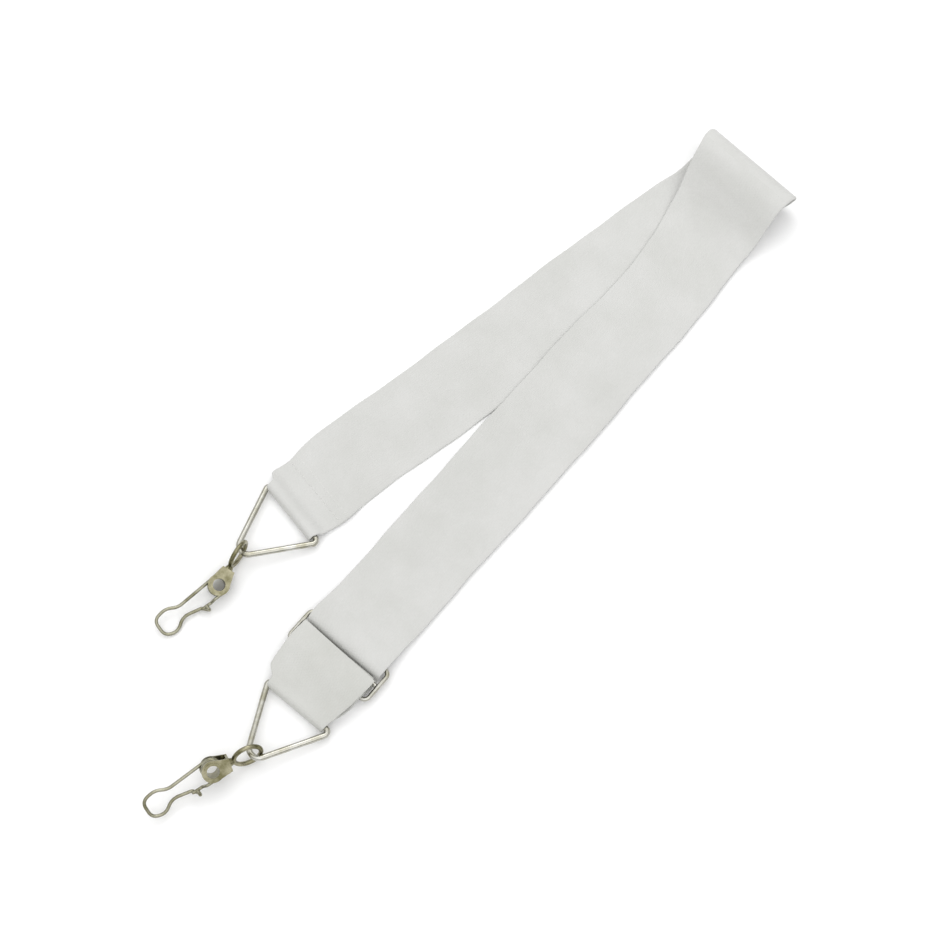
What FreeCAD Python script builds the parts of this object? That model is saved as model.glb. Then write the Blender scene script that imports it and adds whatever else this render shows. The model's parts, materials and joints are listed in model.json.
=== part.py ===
"""Webbing carrying sling with two triangular rings, a wire slide and two swivel snap hooks.

The sling lies folded once on a flat surface: the left leg underneath, the right leg on top.
Frame: millimetres, +Z up, +Y from the hooks to the fold. The origin is on the underside of the
right leg, which is the flat face that the sling rests on.
"""
import FreeCAD, Part
import math
import os

Vec = FreeCAD.Vector

# Webbing
WEB_T = 1.3                 # thickness
LEFT_W = 48.3               # width of the left leg
RIGHT_W = 50.5              # width of the right leg
FOLD_W = 61.0               # width across the soft roll, where the webbing spreads sideways
LAYER_GAP = 0.3             # air between the webbing and the wire that it passes over
LEFT_LEAN = -6.3            # direction of the left leg from +Y, degrees
RIGHT_LEAN = 5.0            # direction of the right leg from +Y, degrees
LEFT_BAR = Vec(-49.7, -83.4, 3.4)      # centre of the left ring's bar
RIGHT_BAR = Vec(28.0, -152.2, 3.4)     # centre of the right ring's bar
LEFT_SHIFT = -4.6           # middle of the left leg, sideways from the middle of its bar
RIGHT_SHIFT = -2.3          # middle of the right leg, sideways from the middle of its bar

# Roll at the fold
ROLL_Y = 228.4              # Y of the roll's axis
ROLL_X = -15.0              # middle of the roll
ROLL_R = 9.6                # radius at the middle of the webbing
ROLL_Z = ROLL_R + WEB_T / 2
JOINT_ANGLES = (30.0, 90.0, 150.0)     # where the roll bends open, from its lowest point
JOINT_GAP = 1.3             # gap in the webbing at each bend, along the arc
NECK_Y = 205.0              # where the upper layer has come down from the roll
NECK_DROP = ((0, 0), (6, 1.0), (13, 9.0))   # way down from the top of the roll: along, down
UPPER_Z = 2.0               # underside of the right leg where it lies on the left leg
RAMP_S = 164.0              # where it starts to climb onto the left leg, from its ring's bar

# Triangular rings
RING_WIRE_R = 1.6
RING_HALF = 21.6            # half of the bar, between wire centres
RING_H = 34.8               # bar to tip, between wire centres
RING_CORNER_R = 2.2
RING_TIP_R = 5.2
RING_TILT = 5.4             # the tip is this much higher than the bar, degrees
HEM_W = 35.0                # width of the webbing gathered on the bar
HEM_CLEAR = 0.45
HEM_L = 24.0                # length of the hem that is folded back and sewn

# Wire slide
SLIDE_S = 32.4              # distance of its middle bar from the ring's bar
SLIDE_WIRE_R = 1.2
SLIDE_HALF_L = 9.5          # half length along the strap, between wire centres
SLIDE_HALF_W = 26.5         # half width across the strap, between wire centres
SLIDE_WEB_W = 48.6          # width of the webbing where it runs through the slide
SLIDE_CORNER_R = 3.0
SLIDE_Z = 4.0               # height of the wire centres
TAIL_L = 20.0               # sewn tail beyond the middle bar
PLY = WEB_T + 0.1           # pitch of layers that lie on each other

# Stitches
STITCH_L = 2.2
STITCH_W = 0.6
STITCH_PITCH = 3.0
STITCH_ROWS = (HEM_L - 8, HEM_L - 3)

# Swivel eye
EYE_R = 7.2                 # radius to the wire's centre
EYE_WIRE_R = 1.2
EYE_DIST = 18.9             # from the coil's axis to the eye's centre
EYE_OFFSET = 3.0            # from the ring's tip wire to the eye's centre
EYE_RISE = 40.0             # slope of that offset, degrees
SHANK_R = 1.5
HEAD_R = 2.6

# Bracket, hollow rivet, hook and gate
CHEEK_R = 5.7
CHEEK_IN = 3.75             # inside face of a cheek from the middle of the coil
CHEEK_T = 0.7
BRIDGE_U = 8.2              # inside face of the bridge from the coil's axis
BRIDGE_T = 1.2
BRIDGE_HALF = 3.4
RIVET_R = 3.55
RIVET_BORE_R = 3.25
RIVET_FLANGE_R = 4.6
RIVET_FLANGE_T = 0.3
HOOK_WIRE_R = 0.9
COIL_R = 4.65
HOOK_TURNS = 3
COIL_LOW = -2.75            # the hook's plane, and the first turn
GATE_W = 2.75               # the turn that belongs to the gate
GATE_R = 0.85
GATE_DROP = 2.0             # height of the gate arm's end above the hook's plane

# Where each hook lies: direction of its ring, azimuth of coil to eye, pitch, roll of the coil,
# roll of the eye, turn of the hook
HOOKS = {
    "left": {"bar": LEFT_BAR, "ring_lean": -5.2, "azimuth": 104.0, "pitch": 7.0,
             "roll": 17.0, "eye_roll": 2.0, "turn": -22.0},
    "right": {"bar": RIGHT_BAR, "ring_lean": 4.0, "azimuth": 68.5, "pitch": -5.0,
              "roll": 32.0, "eye_roll": -16.0, "turn": 12.0},
}


def turn_about(axis, degrees):
    return FreeCAD.Rotation(axis, degrees)


X_AXIS = Vec(1, 0, 0)
Y_AXIS = Vec(0, 1, 0)
Z_AXIS = Vec(0, 0, 1)


def placed(shape, placement):
    copy = shape.copy()
    copy.Placement = placement.multiply(copy.Placement)
    return copy


def leg_frame(bar, lean):
    """Local frame of a leg: origin under its ring's bar, +Y along the leg towards the fold."""
    return FreeCAD.Placement(Vec(bar.x, bar.y, 0), turn_about(Z_AXIS, lean))


def band(under, half_width, middle=0.0):
    """Webbing whose underside follows the (y, z) points, extruded across X."""
    over = [(y, z + WEB_T) for y, z in reversed(under)]
    outline = [Vec(middle - half_width, y, z) for y, z in list(under) + over]
    face = Part.Face(Part.makePolygon(outline + outline[:1]))
    return face.extrude(Vec(2 * half_width, 0, 0))


def arc_band(centre_y, centre_z, mid_r, start, end, x_low, x_high):
    """Curved webbing about an axis along X. Angles from the lowest point, rising through +Y."""
    inner = mid_r - WEB_T / 2
    outer = mid_r + WEB_T / 2

    def at(radius, angle):
        a = math.radians(angle)
        return Vec(x_low, centre_y + radius * math.sin(a), centre_z - radius * math.cos(a))

    middle = (start + end) / 2
    edges = [
        Part.Arc(at(outer, start), at(outer, middle), at(outer, end)).toShape(),
        Part.LineSegment(at(outer, end), at(inner, end)).toShape(),
        Part.Arc(at(inner, end), at(inner, middle), at(inner, start)).toShape(),
        Part.LineSegment(at(inner, start), at(outer, start)).toShape(),
    ]
    return Part.Face(Part.Wire(edges)).extrude(Vec(x_high - x_low, 0, 0))


def rounded_path(points, bends, closed=False):
    """Wire of straight runs with a tangent arc of the given radius at each bend."""
    count = len(points)
    edges = []
    previous = None if closed else points[0]
    first = None
    corners = range(count) if closed else range(1, count - 1)
    for i in corners:
        here = points[i]
        back = (points[i - 1] - here).normalize()
        ahead = (points[(i + 1) % count] - here).normalize()
        half = back.getAngle(ahead) / 2
        reach = bends[i] / math.tan(half)
        start = here + back * reach
        end = here + ahead * reach
        inward = (back + ahead).normalize()
        middle = here + inward * (bends[i] / math.sin(half) - bends[i])
        if previous is not None:
            edges.append(Part.LineSegment(previous, start).toShape())
        else:
            first = start
        edges.append(Part.Arc(start, middle, end).toShape())
        previous = end
    last = first if closed else points[-1]
    edges.append(Part.LineSegment(previous, last).toShape())
    return Part.Wire(edges)


def rod(points, bends, radius, closed=False):
    """Round wire bent along the points."""
    path = rounded_path(points, bends, closed)
    edge = path.Edges[0]
    start = edge.valueAt(edge.FirstParameter)
    direction = edge.tangentAt(edge.FirstParameter)
    profile = Part.Wire(Part.makeCircle(radius, start, direction))
    return path.makePipeShell([profile], True, True)


# ---------------------------------------------------------------- webbing

def left_hem():
    """Hem of the left leg: round the bar and back under the leg, where it is sewn."""
    inner = RING_WIRE_R + HEM_CLEAR
    bend = arc_band(0, LEFT_BAR.z, inner + WEB_T / 2, -180, 0, -HEM_W / 2, HEM_W / 2)
    low = LEFT_BAR.z - inner - WEB_T
    under = [(0, low), (5.0, 0.0), (HEM_L, 0.0)]
    return placed(bend.fuse(band(under, HEM_W / 2)), leg_frame(LEFT_BAR, LEFT_LEAN))


def roll_piece(start, end):
    half = FOLD_W / 2
    return arc_band(ROLL_Y, ROLL_Z, ROLL_R, start, end, ROLL_X - half, ROLL_X + half)


def bend_gap():
    return math.degrees(JOINT_GAP / 2 / ROLL_R)


def left_webbing():
    """Lower leg: on its own hem near the ring, then flat on the ground to the roll."""
    frame = leg_frame(LEFT_BAR, LEFT_LEAN)
    length = (ROLL_Y - LEFT_BAR.y) / math.cos(math.radians(LEFT_LEAN))
    top = LEFT_BAR.z + RING_WIRE_R + HEM_CLEAR
    gathered = placed(band([(0, top), (2.2, top - 0.6), (7.0, PLY + 0.3)], HEM_W / 2), frame)
    under = [(5.0, PLY + 0.7), (6.0, PLY), (HEM_L + 0.5, PLY), (HEM_L + 7.0, 0), (length + 8.0, 0)]
    flat = placed(band(under, LEFT_W / 2, LEFT_SHIFT), frame)
    keep = Part.makeBox(400, 400, 40, Vec(-200, ROLL_Y - 400, -5))
    roll_start = roll_piece(0, JOINT_ANGLES[0] - bend_gap())
    return flat.common(keep).fuse(gathered).fuse(roll_start).removeSplitter()


def fold_piece(index):
    return roll_piece(JOINT_ANGLES[index] + bend_gap(), JOINT_ANGLES[index + 1] - bend_gap())


def right_webbing():
    """Upper leg: off the top of the roll, down onto the left leg, and over the slide's first bar."""
    frame = leg_frame(RIGHT_BAR, RIGHT_LEAN)
    roll_end = roll_piece(JOINT_ANGLES[2] + bend_gap(), 180)
    top = 2 * ROLL_R
    neck_points = [(ROLL_Y - along, top - down) for along, down in NECK_DROP]
    neck_points += [(NECK_Y + 3.5, UPPER_Z + 2.4), (NECK_Y - 6, UPPER_Z + 0.6)]
    neck = band(neck_points, (FOLD_W - 6) / 2, ROLL_X + 3.0)
    over = SLIDE_Z + SLIDE_WIRE_R + LAYER_GAP
    length = (NECK_Y - RIGHT_BAR.y) / math.cos(math.radians(RIGHT_LEAN))
    first_bar = SLIDE_S + SLIDE_HALF_L
    in_slide = [(SLIDE_S + 1.0, 0), (SLIDE_S + 3.5, 0), (SLIDE_S + 4.5, 0.2), (first_bar - 1, over),
                (first_bar + 1, over), (first_bar + 14, 0), (first_bar + 16, 0)]
    under = [(first_bar + 12, 0), (RAMP_S, 0), (RAMP_S + 20, UPPER_Z), (length - 60, UPPER_Z),
             (length + 4, UPPER_Z + 0.8)]
    narrow = placed(band(in_slide, SLIDE_WEB_W / 2, RIGHT_SHIFT), frame)
    long_run = placed(band(under, RIGHT_W / 2, RIGHT_SHIFT), frame)
    keep = Part.makeBox(400, 600, 40, Vec(-200, NECK_Y - 600, -5))
    return long_run.common(keep).fuse(narrow).fuse(neck).fuse(roll_end).removeSplitter()


def loop_webbing():
    """Webbing from the slide down to the right ring, round its bar, and back over the slide."""
    half = SLIDE_WEB_W / 2
    inner = RING_WIRE_R + HEM_CLEAR
    last_bar = SLIDE_S - SLIDE_HALF_L
    over = SLIDE_Z + SLIDE_WIRE_R + LAYER_GAP
    lower = [(6.0, 0), (last_bar - 8, 0), (last_bar - 4, over - 1.2), (last_bar - 1, over),
             (last_bar + 1, over), (SLIDE_S - 4.5, 0.2), (SLIDE_S - 3.5, 0), (SLIDE_S - 1.0, 0)]
    bend = arc_band(0, RIGHT_BAR.z, inner + WEB_T / 2, -180, 0, -HEM_W / 2, HEM_W / 2)
    gathered = band([(0, RIGHT_BAR.z - inner - WEB_T), (6.0, 0)], HEM_W / 2)
    above = over + 2 * PLY
    start = RIGHT_BAR.z + inner
    upper = [(6.0, start + 0.4), (last_bar - 5, above - 0.6), (last_bar - 2, above),
             (last_bar + 2, above), (SLIDE_S - 4.4, above - 0.9)]
    neck = band([(0, start), (5.0, start), (6.5, start + 0.5)], HEM_W / 2)
    solid = band(lower, half, RIGHT_SHIFT).fuse(gathered).fuse(bend).fuse(neck)
    solid = solid.fuse(band(upper, half - 1.0, RIGHT_SHIFT))
    return placed(solid, leg_frame(RIGHT_BAR, RIGHT_LEAN))


def end_wrap():
    """Sewn end of the webbing: round the slide's middle bar, with the tail under the return layer."""
    frame = leg_frame(RIGHT_BAR, RIGHT_LEAN)
    inner = SLIDE_WIRE_R + 0.1
    half = SLIDE_WEB_W / 2 - 1.0
    low_x = RIGHT_SHIFT - half
    bend = arc_band(SLIDE_S, SLIDE_Z, inner + WEB_T / 2, 0, 180, low_x, low_x + 2 * half)
    low = SLIDE_Z - inner - WEB_T
    over = SLIDE_Z + SLIDE_WIRE_R + LAYER_GAP + PLY
    tail = [(SLIDE_S - TAIL_L, over - 2.6), (SLIDE_S - SLIDE_HALF_L - 4, over - 1.15),
            (SLIDE_S - SLIDE_HALF_L - 1, over + 0.05), (SLIDE_S - SLIDE_HALF_L + 1, over + 0.05),
            (SLIDE_S - 2.0, low), (SLIDE_S, low)]
    top = SLIDE_Z + inner
    upper = [(SLIDE_S - 4.0, top + 0.9), (SLIDE_S, top)]
    solid = bend.fuse(band(tail, half, RIGHT_SHIFT)).fuse(band(upper, half, RIGHT_SHIFT))
    return placed(solid, frame)


def stitch_rows(frame, rows, width, middle, z):
    """Short threads in rows across the webbing; z is the webbing's upper face."""
    threads = []
    count = int(width / STITCH_PITCH)
    for y in rows:
        for i in range(count):
            x = middle + (i - (count - 1) / 2) * STITCH_PITCH
            corner = Vec(x - STITCH_L / 2, y - STITCH_W / 2, z + 0.02)
            threads.append(Part.makeBox(STITCH_L, STITCH_W, 0.3, corner))
    return placed(Part.makeCompound(threads), frame)


# ---------------------------------------------------------------- slide

def slide_frame():
    """Closed wire frame of the slide."""
    a = SLIDE_HALF_W
    b = SLIDE_HALF_L
    corners = [Vec(-a, -b, 0), Vec(a, -b, 0), Vec(a, b, 0), Vec(-a, b, 0)]
    frame = rod(corners, [SLIDE_CORNER_R] * 4, SLIDE_WIRE_R, closed=True)
    frame.translate(Vec(RIGHT_SHIFT, SLIDE_S, SLIDE_Z))
    return placed(frame, leg_frame(RIGHT_BAR, RIGHT_LEAN))


def slide_bar():
    """Middle bar, which ends just inside the frame's ends."""
    reach = SLIDE_HALF_W - SLIDE_WIRE_R
    bar = Part.makeCylinder(SLIDE_WIRE_R, 2 * reach, Vec(-reach, 0, 0), X_AXIS)
    bar.translate(Vec(RIGHT_SHIFT, SLIDE_S, SLIDE_Z))
    return placed(bar, leg_frame(RIGHT_BAR, RIGHT_LEAN))


# ---------------------------------------------------------------- rings and hooks

def ring_frame(side):
    hook = HOOKS[side]
    turn = turn_about(Z_AXIS, hook["ring_lean"]).multiply(turn_about(X_AXIS, -RING_TILT))
    return FreeCAD.Placement(hook["bar"], turn)


def ring_tip(side):
    return ring_frame(side).multVec(Vec(0, -RING_H, 0))


def triangle_ring(side):
    """Closed ring of bent wire: a bar and two sides that meet in a rounded tip."""
    centre = RING_H - RING_TIP_R
    slope = math.atan2(RING_HALF, centre) - math.asin(RING_TIP_R / math.hypot(RING_HALF, centre))
    apex = RING_HALF / math.tan(slope)
    corners = [Vec(-RING_HALF, 0, 0), Vec(0, -apex, 0), Vec(RING_HALF, 0, 0)]
    ring = rod(corners, [RING_CORNER_R, RING_TIP_R, RING_CORNER_R], RING_WIRE_R, closed=True)
    return placed(ring, ring_frame(side))


def hook_turn(side, roll):
    """Rotation of a frame with +X from the coil to the eye and +Z along the coil."""
    hook = HOOKS[side]
    turn = turn_about(Z_AXIS, hook["azimuth"]).multiply(turn_about(Y_AXIS, -hook["pitch"]))
    return turn.multiply(turn_about(X_AXIS, roll))


def eye_centre(side):
    hook = HOOKS[side]
    slope = math.radians(EYE_RISE)
    offset = Vec(-EYE_OFFSET * math.cos(slope), 0, EYE_OFFSET * math.sin(slope))
    return ring_tip(side) + hook_turn(side, hook["eye_roll"]).multVec(offset)


def coil_centre(side):
    along = hook_turn(side, 0).multVec(X_AXIS)
    return eye_centre(side) - along * EYE_DIST


def eye_frame(side):
    return FreeCAD.Placement(coil_centre(side), hook_turn(side, HOOKS[side]["eye_roll"]))


def bracket_frame(side):
    return FreeCAD.Placement(coil_centre(side), hook_turn(side, HOOKS[side]["roll"]))


def hook_frame(side):
    turn = hook_turn(side, HOOKS[side]["roll"]).multiply(turn_about(Z_AXIS, 180 + HOOKS[side]["turn"]))
    return FreeCAD.Placement(coil_centre(side), turn)


def swivel_eye(side):
    """Eye with its shank and the peened head that holds it in the bracket."""
    ring = Part.makeTorus(EYE_R, EYE_WIRE_R, Vec(EYE_DIST, 0, 0), Y_AXIS)
    head_u = BRIDGE_U - 1.5
    shank_l = EYE_DIST - EYE_R - head_u
    shank = Part.makeCylinder(SHANK_R, shank_l, Vec(head_u, 0, 0), X_AXIS)
    head = Part.makeCylinder(HEAD_R, 1.0, Vec(head_u, 0, 0), X_AXIS)
    collar_u = BRIDGE_U + BRIDGE_T + 0.15
    collar = Part.makeCone(SHANK_R + 0.8, SHANK_R, EYE_DIST - EYE_R - collar_u, Vec(collar_u, 0, 0), X_AXIS)
    return placed(ring.fuse(shank).fuse(collar).fuse(head), eye_frame(side))


def swivel_washer(side):
    start = Vec(BRIDGE_U - 0.45, 0, 0)
    disc = Part.makeCylinder(HEAD_R + 0.3, 0.4, start, X_AXIS)
    hole = Part.makeCylinder(SHANK_R + 0.05, 0.4, start, X_AXIS)
    return placed(disc.cut(hole), eye_frame(side))


def cheek(w):
    """One side of the bracket: round at the rivet, narrower at the bridge."""
    disc = Part.makeCylinder(CHEEK_R, CHEEK_T, Vec(0, 0, w), Z_AXIS)
    edge = math.radians(60)
    reach = BRIDGE_U + BRIDGE_T
    side_u = CHEEK_R * math.cos(edge)
    side_v = CHEEK_R * math.sin(edge)
    outline = [Vec(side_u, side_v, w), Vec(side_u, -side_v, w), Vec(reach, -BRIDGE_HALF, w),
               Vec(reach, BRIDGE_HALF, w)]
    plate = Part.Face(Part.makePolygon(outline + outline[:1])).extrude(Vec(0, 0, CHEEK_T))
    return disc.fuse(plate)


def hook_bracket(side):
    """U-shaped bracket: two cheeks across the coil, joined by a bridge that holds the eye."""
    half = CHEEK_IN + CHEEK_T
    bridge = Part.makeBox(BRIDGE_T, 2 * BRIDGE_HALF, 2 * half, Vec(BRIDGE_U, -BRIDGE_HALF, -half))
    solid = bridge.fuse(cheek(CHEEK_IN)).fuse(cheek(-half))
    rivet_hole = Part.makeCylinder(RIVET_R + 0.03, 2 * half, Vec(0, 0, -half), Z_AXIS)
    shank_hole = Part.makeCylinder(SHANK_R + 0.05, BRIDGE_T, Vec(BRIDGE_U, 0, 0), X_AXIS)
    return placed(solid.cut(rivet_hole).cut(shank_hole).removeSplitter(), bracket_frame(side))


def hollow_rivet(side):
    half = CHEEK_IN + CHEEK_T + RIVET_FLANGE_T
    tube = Part.makeCylinder(RIVET_R, 2 * half, Vec(0, 0, -half), Z_AXIS)
    for w in (-half, half - RIVET_FLANGE_T):
        tube = tube.fuse(Part.makeCylinder(RIVET_FLANGE_R, RIVET_FLANGE_T, Vec(0, 0, w), Z_AXIS))
    bore = Part.makeCylinder(RIVET_BORE_R, 2 * half, Vec(0, 0, -half), Z_AXIS)
    return placed(tube.cut(bore), bracket_frame(side))


def spring_turn(w):
    return Part.makeTorus(COIL_R, HOOK_WIRE_R, Vec(0, 0, w), Z_AXIS)


def hook_path():
    """Centre line of the hook: long arm, bulb-shaped nose, short arm and latch curl."""
    low = COIL_LOW
    side = COIL_R
    points = [
        Vec(0, -side, low), Vec(24, -3.3, low), Vec(29.0, -6.4, low), Vec(37.2, -4.8, low),
        Vec(37.2, 5.0, low), Vec(30.5, 7.4, low), Vec(24.5, 2.6, low), Vec(14.0, 4.6, low),
        Vec(11.4, 7.6, low + 0.3), Vec(11.4, 7.6, low + 4.1), Vec(11.4, 5.2, low + 4.3),
    ]
    bends = [0, 4.0, 3.6, 4.2, 4.2, 3.6, 4.0, 1.5, 1.2, 1.2, 0]
    return points, bends


def hook_wire(side):
    """Spring coil and hook, bent from one wire."""
    coil = spring_turn(COIL_LOW)
    pitch = 2 * HOOK_WIRE_R
    for turn in range(1, HOOK_TURNS):
        coil = coil.fuse(spring_turn(COIL_LOW + turn * pitch * 0.995))
    points, bends = hook_path()
    return placed(coil.fuse(rod(points, bends, HOOK_WIRE_R)), hook_frame(side))


def gate_arm(side):
    """Free end of the spring wire: the last turn and the arm that snaps into the latch curl."""
    low = COIL_LOW + GATE_DROP
    points = [Vec(0, COIL_R, GATE_W), Vec(6.2, 4.8, GATE_W), Vec(8.2, 5.2, low), Vec(13.8, 5.2, low)]
    arm = rod(points, [0, 1.5, 1.5, 0], GATE_R)
    return placed(spring_turn(GATE_W).fuse(arm), hook_frame(side))


# ---------------------------------------------------------------- the whole sling

def sling_parts():
    left = leg_frame(LEFT_BAR, LEFT_LEAN)
    parts = {
        "left_webbing": left_webbing(),
        "left_hem": left_hem(),
        "left_stitching": stitch_rows(left, STITCH_ROWS, LEFT_W - 8, LEFT_SHIFT, PLY + WEB_T),
        "fold_webbing_lower": fold_piece(0),
        "fold_webbing_upper": fold_piece(1),
        "right_webbing": right_webbing(),
        "loop_webbing": loop_webbing(),
        "end_wrap": end_wrap(),
        "slide_frame": slide_frame(),
        "slide_bar": slide_bar(),
    }
    for side in HOOKS:
        parts[side + "_triangle_ring"] = triangle_ring(side)
        parts[side + "_swivel_eye"] = swivel_eye(side)
        parts[side + "_swivel_washer"] = swivel_washer(side)
        parts[side + "_hook_bracket"] = hook_bracket(side)
        parts[side + "_hollow_rivet"] = hollow_rivet(side)
        parts[side + "_hook_wire"] = hook_wire(side)
        parts[side + "_gate_arm"] = gate_arm(side)
    return parts


PARTS = sling_parts()
os.makedirs("parts", exist_ok=True)
for name, shape in PARTS.items():
    shape.exportStep("parts/" + name + ".step")
    box = shape.BoundBox
    print("%-22s valid %s solids %d volume %8.1f z %.2f..%.2f" % (
        name, shape.isValid(), len(shape.Solids), shape.Volume, box.ZMin, box.ZMax))
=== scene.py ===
"""Looks of the webbing carrying sling: woven straps, bent-wire rings and slide, spring hooks.

Lengths are in millimetres until a mesh is made, which is in metres. A leg frame has its origin on
the ground under its ring's bar and +Y along the leg towards the fold.
"""

import bpy
import json
import math
import random
import numpy as np
from mathutils import Matrix, Vector


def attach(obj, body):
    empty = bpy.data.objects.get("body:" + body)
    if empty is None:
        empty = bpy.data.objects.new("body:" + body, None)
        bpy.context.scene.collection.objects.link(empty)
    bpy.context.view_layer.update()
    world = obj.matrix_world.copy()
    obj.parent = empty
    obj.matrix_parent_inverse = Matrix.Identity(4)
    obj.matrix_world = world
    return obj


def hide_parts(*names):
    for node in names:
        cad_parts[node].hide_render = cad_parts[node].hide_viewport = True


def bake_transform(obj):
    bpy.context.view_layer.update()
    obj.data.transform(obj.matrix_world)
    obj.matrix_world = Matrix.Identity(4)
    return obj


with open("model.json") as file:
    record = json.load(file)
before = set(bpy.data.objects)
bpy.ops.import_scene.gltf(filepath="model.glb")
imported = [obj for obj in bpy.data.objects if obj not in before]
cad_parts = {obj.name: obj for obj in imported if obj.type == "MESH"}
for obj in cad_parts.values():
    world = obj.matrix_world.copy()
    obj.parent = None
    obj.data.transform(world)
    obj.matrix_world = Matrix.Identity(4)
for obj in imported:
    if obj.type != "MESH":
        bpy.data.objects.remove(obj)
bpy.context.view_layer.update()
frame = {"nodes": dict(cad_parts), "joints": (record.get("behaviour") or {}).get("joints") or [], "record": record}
random.seed(7)

MM = 0.001

# Webbing
WEB_T = 1.3                 # thickness
FLAT_Z = WEB_T / 2          # height of its middle where it lies on the ground
SECOND_Z = 2.05             # the same where it lies on another layer
UPPER_Z = 2.15              # the same for the right leg on the left leg
ROW_STEP = 1.5              # length of one row of faces along a strap
FLAT_PLACES = 28            # points across the flat part of a strap
# Distance from a strap's edge and the share of its thickness there
SELVEDGE = ((0.0, 0.30), (0.12, 0.62), (0.35, 0.88), (0.75, 1.06), (1.5, 1.02), (2.4, 0.98))
EDGE_DRAWS = 4              # random phases drawn for each edge
EDGE_WAVES = ((95, 1.0), (233, 0.6), (1700, 0.35))      # radians per metre and share of each wave
SEAM_FADE = 0.012           # a strap's edge is even this near to a seam, metres
UV_MAP = "Strap"            # across and along the strap, metres
RIB_PITCH = 1.25e-3         # weave across and along the strap, metres
PICK_PITCH = 1.0e-3

# Legs and fold
LEFT_LEAN = -6.3            # direction of each leg from +Y, degrees
RIGHT_LEAN = 5.0
ROLL_Y = 228.8              # axis and radius of the soft roll at the fold
ROLL_Z = 10.30
ROLL_R = 9.65
ROLL_STEP = 5               # degrees between its stations
FOLD_ANGLE = 60             # degrees of it in each of its three strips
ROLL_ANGLES = (0, 30, 60, 90, 120, 150, 180)
ROLL_LOW = (-46.2, -46.2, -45.4, -44.4, -44.8, -45.6, -45.0)    # X of its edges at those angles
ROLL_HIGH = (9.5, 12.0, 14.2, 15.8, 16.6, 16.8, 16.6)

# Bars that the webbing goes round
BAR_Z = 3.4                 # height of the rings' bars
WRAP_R = 2.7                # radius of the webbing round them
WRAP_STEP = 18              # degrees between stations round a bar
SLIDE_S = 32.4              # the slide's middle bar, along the right leg
SLIDE_Z = 4.0
SLIDE_WRAP_R = 1.95

# Sewing of the left hem
STITCH_ROWS = (16.0, 21.0)  # places along the left leg
STITCH_X = -23.5            # first stitch of a row
STITCHES = 14
STITCH_PITCH = 3.0
STITCH_LENGTH = 2.3
STITCH_SHIFT = 0.15         # most that a stitch lies out of place, and turned
STITCH_TURN = 0.06
STITCH_Z = 2.7              # top of the hem
STITCH_RISE = 0.10
STITCH_RINGS = 6
STITCH_SIDES = 8
THREAD_R = 0.24

# Wires: a path holds x, y, z and the radius of the bend there
WIRE_STEP = 1.0             # distance between points on a wire's straight parts
WIRE_SIDES = 20
BEND_STEPS = 12
HELIX_STEP = 9              # degrees between points on a coil
# A wire's rounded end: distance beyond it and radius there, in wire radii
WIRE_CAP = ((0.30, 0.95), (0.60, 0.78), (0.82, 0.52), (0.95, 0.22))
COIL_R = 4.65
COIL_LOW = -2.75            # coil's ends along its axis
COIL_HIGH = 0.95
COIL_TURN = 720             # degrees
HOOK_R = 0.9
HOOK_PATH = ((0, -COIL_R, COIL_LOW, 0), (23.6, -3.0, COIL_LOW, 9.0),
             (29.0, -6.2, COIL_LOW, 9.0), (37.3, -4.9, COIL_LOW, 9.0),
             (37.3, 5.0, COIL_LOW, 9.0), (30.5, 7.2, COIL_LOW, 9.0),
             (24.4, 2.4, COIL_LOW, 9.0), (14.0, 4.6, COIL_LOW, 1.5),
             (11.4, 7.6, COIL_LOW + 0.3, 1.2), (11.4, 7.6, COIL_LOW + 4.1, 1.2),
             (11.4, 5.2, COIL_LOW + 4.3, 0))
GATE_R = 0.85
GATE_W = 2.75               # the gate's turn, along the coil's axis
GATE_TURN = 350             # degrees
GATE_PATH = ((0, COIL_R, GATE_W, 0), (6.2, 4.8, GATE_W, 1.5),
             (8.2, 5.2, COIL_LOW + 2.0, 1.5), (13.8, 5.2, COIL_LOW + 2.0, 0))

# Stage, metres
FLOOR_HALF = 3
GLOW = (0.30, 1.45)         # strength of the light from the horizon and from straight above
LAMPS = (("key", (-0.7, 0.7, 1.1), 0.9, 4.5),       # place, size and watts
         ("fill", (0.9, -0.4, 1.3), 1.2, 2.0))
AZIMUTH = 45                # camera, degrees
ELEVATION = 70
DISTANCE = 1.0
VIEW_HALF = 0.252           # half the view's width at that distance
CLIP_START = 0.05


def named(items, name):
    for item in items:
        if item["name"] == name:
            return item
    raise KeyError(name)


def joint_point(name):
    return Vector(named(frame["joints"], name)["pos_m"])


def leg_matrix(side, lean):
    bar = joint_point(side + "_ring_swing")
    place = Matrix.Translation(Vector((bar.x, bar.y, 0)))
    return place @ Matrix.Rotation(math.radians(lean), 4, "Z")


LEFT_LEG = leg_matrix("left", LEFT_LEAN)
RIGHT_LEG = leg_matrix("right", RIGHT_LEAN)
WORLD = Matrix.Identity(4)


def new_object(name, verts, faces, material, smooth):
    """Object with that mesh, of which the first faces are smooth-shaded."""
    mesh = bpy.data.meshes.new(name)
    mesh.from_pydata(verts, [], faces)
    mesh.polygons.foreach_set("use_smooth", [i < smooth for i in range(len(faces))])
    mesh.materials.append(material)
    obj = bpy.data.objects.new(name, mesh)
    bpy.context.scene.collection.objects.link(obj)
    return obj


# ---------------------------------------------------------------- materials

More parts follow.
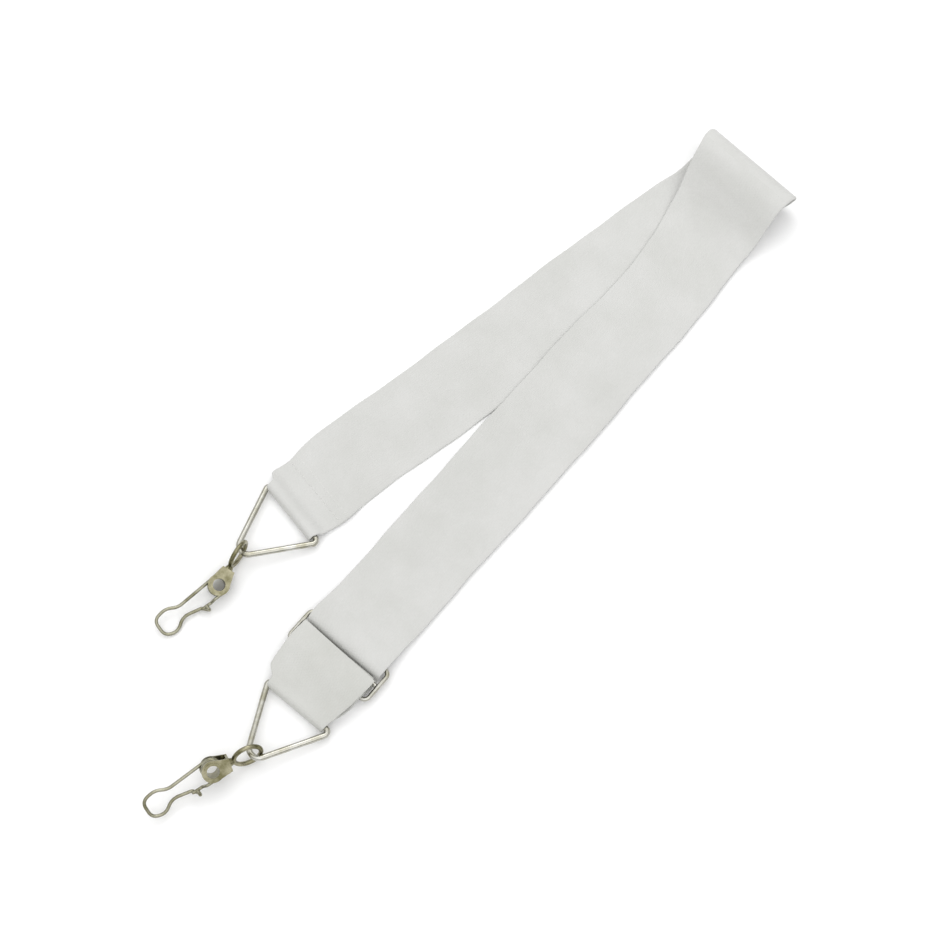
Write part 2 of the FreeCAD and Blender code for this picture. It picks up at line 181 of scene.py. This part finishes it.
class Surface:
    """A new material's Principled shader, with short calls for the nodes that feed it."""

    def __init__(self, name):
        self.material = bpy.data.materials.new(name)
        self.material.use_nodes = True
        self.nodes = self.material.node_tree.nodes
        self.links = self.material.node_tree.links
        self.shader = self.nodes["Principled BSDF"]

    def give(self, socket, value):
        """A number for the socket, or another node's output."""
        if isinstance(value, (int, float)):
            socket.default_value = value
        else:
            self.links.new(value, socket)

    def feed(self, values):
        for name, value in values.items():
            self.give(self.shader.inputs[name], value)
        return self.material

    def node(self, kind, output, **values):
        """A new node with those inputs."""
        node = self.nodes.new(kind)
        for name, value in values.items():
            self.give(node.inputs[name], value)
        return node.outputs[output]

    def calc(self, operation, first, second=0.5):
        node = self.nodes.new("ShaderNodeMath")
        node.operation = operation
        self.give(node.inputs[0], first)
        self.give(node.inputs[1], second)
        return node.outputs[0]

    def noise(self, vector, scale, detail=3.0, rough=0.55):
        return self.node("ShaderNodeTexNoise", "Fac", Vector=vector, Scale=scale, Detail=detail,
                         Roughness=rough)

    def bump(self, height, strength, distance, **before):
        return self.node("ShaderNodeBump", "Normal", Height=height, Strength=strength,
                         Distance=distance, **before)

    def ramp(self, fac, low, dark, high, light):
        """Dark up to the low value, light from the high value on."""
        node = self.nodes.new("ShaderNodeValToRGB")
        self.links.new(fac, node.inputs["Fac"])
        for element, position, colour in zip(node.color_ramp.elements, (low, high), (dark, light)):
            element.position = position
            element.color = (*colour, 1.0)
        return node.outputs["Color"]

    def place(self):
        return self.nodes.new("ShaderNodeTexCoord").outputs["Object"]


def woven(name, light, dark):
    """Webbing: warp ribs crossed by weft, with soft mottling."""
    s = Surface(name)
    uv_map = s.nodes.new("ShaderNodeUVMap")
    uv_map.uv_map = UV_MAP
    uv = uv_map.outputs["UV"]
    split = s.nodes.new("ShaderNodeSeparateXYZ")
    s.links.new(uv, split.inputs[0])
    drift = s.noise(uv, scale=900.0, detail=2.0)
    wander = s.calc("MULTIPLY", drift, 1.6)
    u_phase = s.calc("MULTIPLY", split.outputs[0], math.tau / RIB_PITCH)
    v_phase = s.calc("MULTIPLY", split.outputs[1], math.tau / PICK_PITCH)
    rib = s.calc("SINE", s.calc("ADD", u_phase, wander))
    pick = s.calc("SINE", s.calc("ADD", v_phase, wander))
    cross = s.calc("MULTIPLY", rib, pick)
    weave = s.calc("ADD", cross, s.calc("MULTIPLY", rib, 0.6))
    height = s.calc("ADD", weave, s.calc("MULTIPLY", drift, 1.2))
    threads = s.bump(height, strength=0.40, distance=0.00016)
    soft = s.noise(uv, scale=60.0, detail=4.0)
    mottle = s.noise(uv, scale=24.0, detail=5.0, rough=0.62)
    tone = s.calc("ADD", mottle, s.calc("MULTIPLY", weave, 0.035))
    return s.feed({"Normal": s.bump(soft, strength=0.35, distance=0.0012, Normal=threads),
                   "Base Color": s.ramp(tone, 0.36, dark, 0.64, light),
                   "Roughness": 0.86, "Specular IOR Level": 0.25,
                   "Sheen Weight": 0.12, "Sheen Roughness": 0.5})


def metal(name, light, dark, rough, wear=0.10):
    """Plated wire: warm tint that drifts over the piece, and fine drawing marks."""
    s = Surface(name)
    place = s.place()
    tint = s.noise(place, scale=130.0, detail=4.0, rough=0.6)
    fine = s.noise(place, scale=1500.0, rough=0.6)
    return s.feed({"Base Color": s.ramp(tint, 0.34, dark, 0.66, light),
                   "Roughness": s.calc("ADD", s.calc("MULTIPLY", fine, wear * 2), rough - wear),
                   "Normal": s.bump(fine, strength=0.25, distance=0.00008), "Metallic": 1.0})


def thread_material():
    s = Surface("sewing_thread")
    twist = s.noise(s.place(), scale=2600.0, detail=2.0)
    return s.feed({"Base Color": s.ramp(twist, 0.3, (0.60, 0.60, 0.58), 0.7, (0.70, 0.70, 0.68)),
                   "Normal": s.bump(twist, strength=0.5, distance=0.0001), "Roughness": 0.7})


def floor_material():
    s = Surface("paper_floor")
    grain = s.noise(s.place(), scale=40.0, detail=2.0)
    return s.feed({"Base Color": s.ramp(grain, 0.3, (0.93, 0.93, 0.93), 0.7, (0.96, 0.96, 0.96)),
                   "Roughness": 0.9, "Specular IOR Level": 0.1})


WEBBING = woven("white_webbing", (0.610, 0.610, 0.594), (0.565, 0.567, 0.546))
# Darker copy of the webbing as painted shade, for the loop at the slide and the sewn end
SHADED_WEBBING = woven("painted_shade_webbing", (0.590, 0.592, 0.568), (0.535, 0.538, 0.508))
NICKEL = metal("ring_nickel", (0.57, 0.565, 0.53), (0.36, 0.345, 0.265), 0.24)
BRASS = metal("hook_nickel", (0.38, 0.355, 0.25), (0.15, 0.14, 0.07), 0.26)
SPRING = metal("spring_wire_plating", (0.37, 0.36, 0.28), (0.20, 0.19, 0.12), 0.25)


# ---------------------------------------------------------------- straps

class Station:
    """One line across a strap: its left and right ends, in a frame's millimetres."""

    def __init__(self, matrix, left, right):
        self.left = matrix @ (Vector(left) * MM)
        self.right = matrix @ (Vector(right) * MM)


def across(matrix, s, z, x_low, x_high, skew=0.0):
    return Station(matrix, (x_low, s + skew / 2, z), (x_high, s - skew / 2, z))


def wrap(matrix, centre_s, centre_z, radius, start, end, x_start, x_end):
    """Stations round a bar. Angles from the lowest point, rising through +Y."""
    count = int(abs(end - start) / WRAP_STEP)
    stations = []
    for i in range(count + 1):
        t = i / count
        angle = math.radians(start + (end - start) * t)
        x_low, x_high = (a + (b - a) * t for a, b in zip(x_start, x_end))
        stations.append(across(matrix, centre_s + radius * math.sin(angle),
                               centre_z - radius * math.cos(angle), x_low, x_high))
    return stations


def on_roll(angle):
    """Station on the fold, which swings from the left leg's edges to the right leg's."""
    a = math.radians(angle)
    y = ROLL_Y + ROLL_R * math.sin(a)
    z = ROLL_Z - ROLL_R * math.cos(a)
    x_low = np.interp(angle, ROLL_ANGLES, ROLL_LOW)
    x_high = np.interp(angle, ROLL_ANGLES, ROLL_HIGH)
    return Station(WORLD, (x_low, y, z), (x_high, y, z))


def spline(stations):
    """Rows of left and right edge points, by span, of a Hermite curve through the stations. Its
    tangents are weighted for uneven spacing."""
    p = np.array([(s.left, s.right) for s in stations], float)
    mid = p.mean(axis=1)
    length = np.linalg.norm(np.diff(mid, axis=0), axis=1)
    slope = np.diff(p, axis=0) / length[:, None, None]
    tangent = np.empty_like(p)
    tangent[0], tangent[-1] = slope[0], slope[-1]
    for i in range(1, len(p) - 1):
        a, b = length[i - 1], length[i]
        tangent[i] = (b * slope[i - 1] + a * slope[i]) / (a + b)
    spans = []
    for i, span in enumerate(length):
        rows = []
        count = max(1, int(round(span / (ROW_STEP * MM))))
        for k in range(count):
            t = k / count
            h = (2 * t**3 - 3 * t**2 + 1, t**3 - 2 * t**2 + t, -2 * t**3 + 3 * t**2, t**3 - t**2)
            rows.append(h[0] * p[i] + h[1] * span * tangent[i]
                        + h[2] * p[i + 1] + h[3] * span * tangent[i + 1])
        spans.append(np.array(rows))
    spans.append(p[-1:])
    return spans


def section(width):
    """Places across the strap and the share of full thickness there, with rounded selvedges."""
    half = [(d * MM / width, share) for d, share in SELVEDGE]
    flat = np.linspace(half[-1][0], 1 - half[-1][0], FLAT_PLACES + 2)[1:-1]
    return half + [(t, 1.0) for t in flat] + [(1 - t, share) for t, share in reversed(half)]


def drift(distance, length, phases, fray, lead, trail):
    """How far a selvedge strays from its line at that distance along the strap, metres."""
    to_seam = SEAM_FADE
    if lead:
        to_seam = distance
    elif trail:
        to_seam = length - distance
    fade = min(1.0, to_seam / SEAM_FADE)
    return fade * fray * MM * sum(share * math.sin(distance * wave + phase)
                                  for (wave, share), phase in zip(EDGE_WAVES, phases))


def sharpen(mesh, caps):
    """Mark the edges of the end caps sharp."""
    cap_edges = {tuple(sorted(pair)) for face in caps for pair in zip(face, face[1:] + face[:1])}
    sharp = mesh.attributes.new("sharp_edge", "BOOLEAN", "EDGE")
    sharp.data.foreach_set("value", [tuple(sorted(e.vertices)) in cap_edges for e in mesh.edges])


def strap(name, stations, fray=0.18, v_start=0.0, lead=False, trail=False, material=WEBBING):
    """Closed webbing mesh along the stations, and the V that its far end reaches. A lead or trail
    station only steers the end next to it, so that straps which meet there meet smoothly."""
    spans = spline(stations)
    rows = np.concatenate(spans)
    mid = rows.mean(axis=1)
    side = rows[:, 1] - rows[:, 0]
    width = float(np.linalg.norm(side, axis=1).mean())
    normal = np.cross(side, np.gradient(mid, axis=0))
    normal /= np.linalg.norm(normal, axis=1)[:, None]
    run = np.concatenate(([0], np.cumsum(np.linalg.norm(np.diff(mid, axis=0), axis=1))))
    first = len(spans[0]) if lead else 0
    end = len(rows) - (len(spans[-2]) if trail else 0)
    rows, side, normal, run = (a[first:end] for a in (rows, side, normal, run))
    run = run - run[0]
    wander = [[random.uniform(0, math.tau) for _ in range(EDGE_DRAWS)] for _ in range(2)]

    places = section(width)
    verts, uvs = [], []
    for i, row in enumerate(rows):
        unit = side[i] / np.linalg.norm(side[i])
        low, high = (row[k] + unit * drift(run[i], run[-1], wander[k], fray, lead, trail)
                     for k in range(2))
        for sign, order in ((1, places), (-1, places[::-1])):
            for t, share in order:
                point = low + (high - low) * t + normal[i] * (sign * share * WEB_T * MM / 2)
                verts.append((point[0], point[1], max(point[2], 0.0)))
                uvs.append((t * width + (0.0 if sign > 0 else width), run[i] + v_start))
    ring = 2 * len(places)
    faces = []
    for i in range(len(rows) - 1):
        for j in range(ring):
            k = (j + 1) % ring
            faces.append((i * ring + j, i * ring + k, (i + 1) * ring + k, (i + 1) * ring + j))
    last = (len(rows) - 1) * ring
    caps = []
    for j in range(len(places) - 1):
        under = ring - 1 - j
        caps.append((j, under, under - 1, j + 1))
        caps.append((last + j, last + j + 1, last + under - 1, last + under))
    obj = new_object(name, verts, faces + caps, material, smooth=len(faces))
    layer = obj.data.uv_layers.new(name=UV_MAP)
    for loop in obj.data.loops:
        layer.data[loop.index].uv = uvs[loop.vertex_index]
    sharpen(obj.data, caps)
    return obj, v_start + run[-1]


def left_strap():
    """Hem under the leg, round the ring's bar, and back along the leg to the fold."""
    leg = LEFT_LEG
    stations = [across(leg, 24.0, FLAT_Z, -19.5, 16.5), across(leg, 14.0, FLAT_Z, -20.0, 17.0),
                across(leg, 5.0, FLAT_Z + 0.02, -20.0, 17.0)]
    stations += wrap(leg, 0, BAR_Z, WRAP_R, 0, -180, (-20.0, 17.0), (-20.6, 17.6))
    over = [(1.0, 5.95, -20.8, 17.9), (2.4, 5.35, -21.2, 18.1), (4.4, 3.9, -25.0, 18.9),
            (7.0, 2.35, -25.7, 19.1), (9.0, 2.06, -25.6, 19.2), (16.0, SECOND_Z, -25.5, 19.8),
            (24.5, SECOND_Z, -27.5, 19.8), (28.5, 1.35, -28.3, 19.4), (32.5, FLAT_Z, -28.9, 19.1),
            (40.0, FLAT_Z, -29.2, 18.8), (58.0, FLAT_Z, -28.9, 18.6), (96.0, FLAT_Z, -28.5, 20.0),
            (153.0, FLAT_Z, -28.9, 19.8), (210.0, FLAT_Z, -30.0, 19.8),
            (250.0, FLAT_Z, -29.9, 20.0), (278.0, FLAT_Z, -29.6, 20.4)]
    stations += [across(leg, *values) for values in over]
    stations += [Station(WORLD, (-46.0, 214.0, FLAT_Z), (7.0, 213.0, FLAT_Z)),
                 on_roll(0), on_roll(ROLL_STEP)]
    obj, reached = strap("left_strap", stations, trail=True)
    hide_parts("left_webbing", "left_hem")
    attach(obj, "left_leg")
    return reached


def roll_strap(name, start, node, v_start):
    """A third of the roll, which lies between its two bodies."""
    end = start + FOLD_ANGLE
    stations = [on_roll(angle) for angle in range(start - ROLL_STEP, end + 2 * ROLL_STEP, ROLL_STEP)]
    obj, reached = strap(name, stations, fray=0.0, v_start=v_start, lead=True, trail=True)
    if node:
        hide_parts(node)
    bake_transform(obj)
    return reached


def right_strap(v_start):
    """From the top of the roll down onto the left leg, along it, and over the slide's first bar."""
    leg = RIGHT_LEG
    stations = [on_roll(180 - ROLL_STEP), on_roll(180),
                Station(WORLD, (-43.8, 224.6, 19.4), (16.4, 224.2, 19.3)),
                Station(WORLD, (-42.2, 218.6, 16.6), (16.8, 217.8, 16.3)),
                Station(WORLD, (-40.0, 211.0, 11.4), (17.4, 210.4, 11.2)),
                Station(WORLD, (-37.2, 202.0, 6.3), (18.2, 202.0, 6.2)),
                Station(WORLD, (-34.4, 192.0, 3.2), (18.6, 192.0, 3.2))]
    along = [(317.0, UPPER_Z, -26.5, 22.4), (250.0, UPPER_Z, -27.2, 23.1),
             (216.0, UPPER_Z, -27.6, 23.5), (162.0, UPPER_Z, -27.8, 23.0),
             (130.0, UPPER_Z, -27.6, 22.6), (105.0, UPPER_Z, -27.5, 22.0),
             (78.0, 2.3, -27.3, 22.0), (62.0, 3.2, -27.3, 21.9), (51.0, 5.0, -27.4, 21.9),
             (45.6, 6.0, -27.5, 21.9), (42.6, 6.35, -27.5, 21.9), (40.4, 6.35, -27.4, 21.9),
             (38.3, 6.05, -27.2, 21.8), (37.0, 4.9, -27.0, 21.8), (36.4, 2.8, -26.6, 21.7),
             (35.9, 0.95, -26.1, 21.7), (34.6, FLAT_Z, -26.0, 21.6), (33.4, FLAT_Z, -26.0, 21.6)]
    stations += [across(leg, *values) for values in along]
    obj, _ = strap("right_strap", stations, v_start=v_start, lead=True)
    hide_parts("right_webbing")
    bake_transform(obj)


def loop_strap():
    """From under the slide's middle bar to the ring, round its bar, and back over the slide."""
    leg = RIGHT_LEG
    under = [(31.4, FLAT_Z, -26.0, 21.6), (28.9, FLAT_Z, -25.9, 21.5), (27.9, 0.9, -25.9, 21.5),
             (23.9, 6.1, -25.9, 21.4), (21.9, 6.15, -25.9, 21.3), (18.9, 4.9, -25.6, 21.0),
             (14.9, 0.75, -25.0, 20.4), (8.0, FLAT_Z, -22.5, 18.8), (5.0, FLAT_Z, -20.5, 17.5)]
    stations = [across(leg, *values) for values in under]
    stations += wrap(leg, 0, BAR_Z, WRAP_R, 0, -180, (-19.6, 17.0), (-20.4, 17.8))
    over = [(1.2, 6.1, -20.5, 17.9, 0.0), (2.6, 6.15, -20.9, 18.1, 0.0),
            (4.6, 6.3, -24.0, 18.8, 0.1), (6.4, 6.5, -25.6, 19.1, 0.2),
            (9.0, 6.9, -26.2, 19.4, 0.4), (15.5, 7.95, -26.7, 20.5, 0.8),
            (20.9, 8.9, -27.0, 21.1, 1.2), (25.0, 8.95, -27.2, 21.3, 1.6),
            (29.0, 8.3, -27.2, 21.5, 1.8), (32.2, 7.7, -27.1, 21.6, 1.8),
            (34.3, 7.35, -27.0, 21.6, 1.8)]
    stations += [across(leg, *values) for values in over]
    # Painted shade: the loop takes the darker copy of the webbing
    obj, _ = strap("loop_strap", stations, material=SHADED_WEBBING)
    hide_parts("loop_webbing")
    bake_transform(obj)


def tail_strap():
    """The webbing's sewn end, folded round the slide's middle bar."""
    leg = RIGHT_LEG
    edges = (-24.6, 19.9)
    tail = [(13.6, 5.4), (18.9, 6.45), (21.9, 7.55), (23.9, 7.5), (27.0, 4.8), (30.0, 2.3)]
    stations = [across(leg, s, z, *edges) for s, z in tail]
    stations += wrap(leg, SLIDE_S, SLIDE_Z, SLIDE_WRAP_R, 0, 180, edges, edges)
    stations += [across(leg, 30.6, 6.3, -24.0, 19.8)]
    # Painted shade: the sewn end takes the darker copy of the webbing
    obj, _ = strap("slide_end_strap", stations, fray=0.1, material=SHADED_WEBBING)
    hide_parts("end_wrap")
    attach(obj, "adjuster")


def tube_faces(start, rings, sides):
    """Faces round a tube whose rings of points begin at that vertex."""
    faces = []
    for k in range(start, start + (rings - 1) * sides, sides):
        for j in range(sides):
            m = (j + 1) % sides
            faces.append((k + j, k + m, k + sides + m, k + sides + j))
    faces.append(tuple(start + j for j in reversed(range(sides))))
    faces.append(tuple(start + (rings - 1) * sides + j for j in range(sides)))
    return faces


def stitches():
    """Two rows of sewing thread across the left hem, each stitch sunk at both ends."""
    verts, faces = [], []
    for s in STITCH_ROWS:
        for i in range(STITCHES):
            x0 = STITCH_X + i * STITCH_PITCH + random.uniform(-STITCH_SHIFT, STITCH_SHIFT)
            turn = random.uniform(-STITCH_TURN, STITCH_TURN)
            # The rings of points turn the other way round than a wire's
            faces += [face[:1] + face[:0:-1]
                      for face in tube_faces(len(verts), STITCH_RINGS + 1, STITCH_SIDES)]
            for k in range(STITCH_RINGS + 1):
                t = k / STITCH_RINGS
                radius = THREAD_R * (0.25 + 0.75 * math.sin(math.pi * t) ** 0.5)
                z = STITCH_Z + STITCH_RISE * math.sin(math.pi * t)
                for j in range(STITCH_SIDES):
                    a = math.tau * j / STITCH_SIDES
                    y = s + turn * (t - 0.5) * STITCH_LENGTH + radius * math.cos(a)
                    local = Vector((x0 + STITCH_LENGTH * t, y, z + radius * math.sin(a)))
                    verts.append(LEFT_LEG @ (local * MM))
    obj = new_object("hem_stitches", verts, faces, thread_material(), smooth=len(faces))
    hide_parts("left_stitching")
    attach(obj, "left_leg")


# ---------------------------------------------------------------- wires

def rounded(path):
    """Points along a path, with its corners turned into curves."""
    points = [Vector(place[:3]) for place in path]
    out = points[:1]
    for i in range(1, len(points) - 1):
        corner = points[i]
        back = points[i - 1] - corner
        ahead = points[i + 1] - corner
        cut = min(path[i][3] / math.tan(back.angle(ahead) / 2), 0.49 * back.length,
                  0.49 * ahead.length)
        a = corner + back.normalized() * cut
        b = corner + ahead.normalized() * cut
        for k in range(BEND_STEPS + 1):
            t = k / BEND_STEPS
            out.append(a * (1 - t) ** 2 + corner * 2 * t * (1 - t) + b * t ** 2)
    out.append(points[-1])
    dense = []
    for a, b in zip(out, out[1:]):
        count = max(1, int((b - a).length / WIRE_STEP))
        dense += [a.lerp(b, k / count) for k in range(count)]
    dense.append(out[-1])
    return [p for i, p in enumerate(dense) if i == 0 or (p - dense[i - 1]).length > 1e-4]


def helix(radius, w_start, w_end, a_start, a_end):
    """Coil about +Z, from one height and angle to the other."""
    count = int(abs(a_end - a_start) / HELIX_STEP)
    path = []
    for i in range(count + 1):
        t = i / count
        a = math.radians(a_start + (a_end - a_start) * t)
        w = w_start + (w_end - w_start) * t
        path.append(Vector((radius * math.cos(a), radius * math.sin(a), w)))
    return path


def wire(name, path, radius, matrix):
    """Spring wire along the path, with rounded ends."""
    first = (path[0] - path[1]).normalized()
    last = (path[-1] - path[-2]).normalized()
    line = [(path[0] + first * radius * d, share) for d, share in reversed(WIRE_CAP)]
    line += [(p, 1.0) for p in path]
    line += [(path[-1] + last * radius * d, share) for d, share in WIRE_CAP]
    verts = []
    reference = None
    for i, (p, share) in enumerate(line):
        ahead = line[min(i + 1, len(line) - 1)][0]
        behind = line[max(i - 1, 0)][0]
        tangent = (ahead - behind).normalized()
        if reference is None:
            reference = tangent.orthogonal().normalized()
        reference = (reference - tangent * reference.dot(tangent)).normalized()
        other = tangent.cross(reference)
        for j in range(WIRE_SIDES):
            a = math.tau * j / WIRE_SIDES
            offset = (reference * math.cos(a) + other * math.sin(a)) * radius * share
            verts.append(matrix @ ((p + offset) * MM))
    faces = tube_faces(0, len(line), WIRE_SIDES)
    return new_object(name, verts, faces, SPRING, smooth=len(faces))


def hook_matrix(side):
    """Origin in the middle of the coil, +X towards the nose, +Z along the coil."""
    tilt = named(frame["joints"], side + "_hook_tilt")
    nose = named(frame["record"]["mounts"], side + "_hook_nose")
    x_axis = Vector(nose["axis"]).normalized()
    z_axis = Vector(tilt["axis"]).normalized()
    turn = Matrix((x_axis, z_axis.cross(x_axis), z_axis)).transposed().to_4x4()
    return Matrix.Translation(Vector(tilt["pos_m"])) @ turn


def hooks():
    """Each hook with its coil, and each gate with its turn round the same rivet."""
    for side in ("left", "right"):
        matrix = hook_matrix(side)
        coil = helix(COIL_R, COIL_HIGH, COIL_LOW, -90 - COIL_TURN, -90)
        hook = wire(side + "_bent_hook", coil + rounded(HOOK_PATH)[1:], HOOK_R, matrix)
        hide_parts(side + "_hook_wire")
        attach(hook, side + "_hook")
        turn = helix(COIL_R, GATE_W, GATE_W, 90 + GATE_TURN, 90)
        gate = wire(side + "_spring_gate", turn + rounded(GATE_PATH)[1:], GATE_R, matrix)
        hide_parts(side + "_gate_arm")
        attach(gate, side + "_gate")


def dress_hardware():
    """The other metal pieces keep their CAD shape."""
    pieces = [("slide_frame", "nickel", NICKEL), ("slide_bar", "nickel", NICKEL)]
    for side in ("left", "right"):
        pieces.append((side + "_triangle_ring", "nickel", NICKEL))
        for piece in ("_swivel_eye", "_swivel_washer", "_hook_bracket", "_hollow_rivet"):
            pieces.append((side + piece, "brass_nickel", BRASS))
    for piece, slot, material in pieces:
        obj = frame["nodes"][piece]
        obj.data.materials.clear()
        obj.data.materials.append(material)


# ---------------------------------------------------------------- stage

def aim(name, data, place):
    """Object with that light or camera, looking at the origin."""
    obj = bpy.data.objects.new(name, data)
    obj.location = place
    obj.rotation_mode = "QUATERNION"
    obj.rotation_quaternion = (-Vector(place)).to_track_quat("-Z", "Y")
    bpy.context.scene.collection.objects.link(obj)
    return obj


def sky():
    """White light from all round, brighter from above."""
    world = bpy.data.worlds.new("studio")
    bpy.context.scene.world = world
    world.use_nodes = True
    tree = world.node_tree
    background = tree.nodes["Background"]
    background.inputs["Color"].default_value = (1.0, 1.0, 1.0, 1)
    split = tree.nodes.new("ShaderNodeSeparateXYZ")
    tree.links.new(tree.nodes.new("ShaderNodeTexCoord").outputs["Generated"], split.inputs[0])
    height = tree.nodes.new("ShaderNodeMapRange")
    for socket, value in zip(("From Min", "From Max", "To Min", "To Max"), (0.0, 1.0, *GLOW)):
        height.inputs[socket].default_value = value
    tree.links.new(split.outputs[2], height.inputs["Value"])
    tree.links.new(height.outputs["Result"], background.inputs["Strength"])


def stage():
    h = FLOOR_HALF
    floor = new_object("floor", [(-h, -h, 0), (h, -h, 0), (h, h, 0), (-h, h, 0)], [(0, 1, 2, 3)],
                       floor_material(), smooth=0)
    sky()
    for name, place, size, energy in LAMPS:
        lamp = bpy.data.lights.new(name, "AREA")
        lamp.size = size
        lamp.energy = energy
        aim(name, lamp, place)
    bpy.context.scene.view_settings.view_transform = "Standard"


def camera():
    azimuth, elevation = math.radians(AZIMUTH), math.radians(ELEVATION)
    data = bpy.data.cameras.new("camera")
    data.sensor_fit = "HORIZONTAL"
    data.angle = 2 * math.atan(VIEW_HALF / DISTANCE)
    data.clip_start = CLIP_START
    back = Vector((math.sin(azimuth) * math.cos(elevation),
                   -math.cos(azimuth) * math.cos(elevation), math.sin(elevation)))
    bpy.context.scene.camera = aim("camera", data, back * DISTANCE)


reached = left_strap()
for third, (name, bodies, node) in enumerate((
        ("fold_strap_under", ("left_leg", "fold_lower"), None),
        ("fold_strap_middle", ("fold_lower", "fold_upper"), "fold_webbing_lower"),
        ("fold_strap_top", ("fold_upper", "right_leg"), "fold_webbing_upper"))):
    reached = roll_strap(name, third * FOLD_ANGLE, node, reached)
right_strap(reached)
loop_strap()
tail_strap()
stitches()
hooks()
dress_hardware()
stage()
camera()
